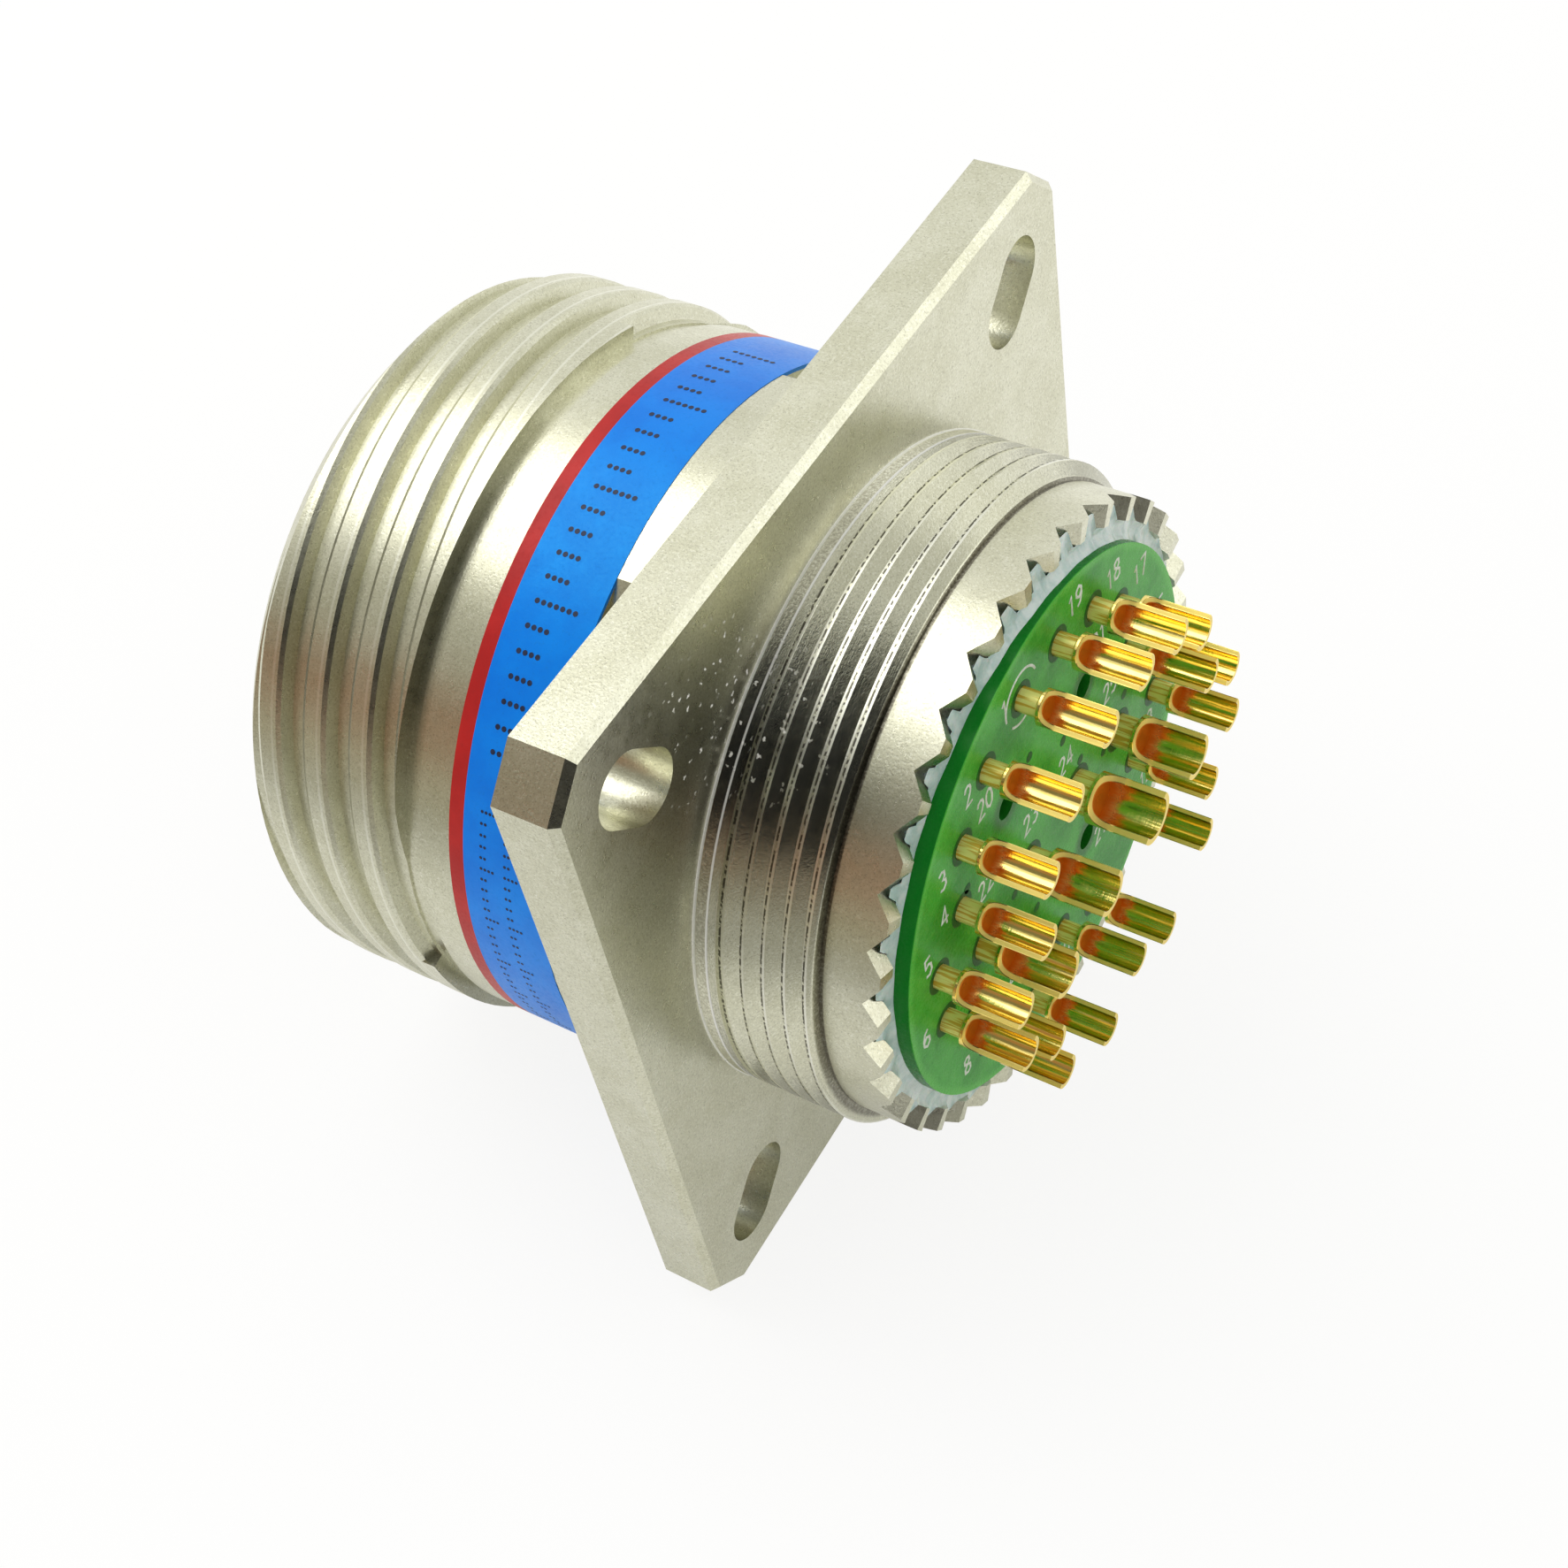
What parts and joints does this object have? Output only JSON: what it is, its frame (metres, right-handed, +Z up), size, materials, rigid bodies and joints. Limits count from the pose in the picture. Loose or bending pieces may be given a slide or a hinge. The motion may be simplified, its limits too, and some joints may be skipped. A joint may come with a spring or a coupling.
{
  "type": "circular connector receptacle",
  "caption": "Square-flanged round connector with a coarse threaded mating barrel, colour bands, a fine rear thread and solder cups standing on a round circuit board.",
  "frame": {"origin": "on the connector's axis, in the plane of the flange's front face, the one towards the mating end", "axes": "X along the connector's axis with the mating end towards -X and the solder cups towards +X, +Z up with the flange's sides level and upright, Y to the right as seen from the solder cup end"},
  "size_m": [0.0358, 0.0398, 0.0398],
  "materials": {
    "shell_metal": "satin nickel plating over turned and milled aluminium",
    "red_paint": "gloss paint band",
    "blue_paint": "gloss paint band",
    "seal": "matt",
    "insert": "matt moulded",
    "potting": "glossy poured resin",
    "board": "glossy green board with white print",
    "contact_gold": "polished gold plating"
  },
  "bodies": {
    "root": {"shell": "shell_metal", "red_band": "red_paint", "blue_band": "blue_paint", "face_seal": "seal", "front_insert": "insert", "rear_insert": "insert", "potting": "potting", "circuit_board": "board", "contact_01": "contact_gold", "contact_02": "contact_gold", "contact_03": "contact_gold", "contact_04": "contact_gold", "contact_05": "contact_gold", "contact_06": "contact_gold", "contact_07": "contact_gold", "contact_08": "contact_gold", "contact_09": "contact_gold", "contact_10": "contact_gold", "contact_11": "contact_gold", "contact_12": "contact_gold", "contact_13": "contact_gold", "contact_14": "contact_gold", "contact_15": "contact_gold", "contact_16": "contact_gold", "contact_17": "contact_gold", "contact_18": "contact_gold", "contact_19": "contact_gold", "contact_20": "contact_gold", "contact_21": "contact_gold", "contact_22": "contact_gold", "contact_23": "contact_gold"}
  },
  "joints": []
}
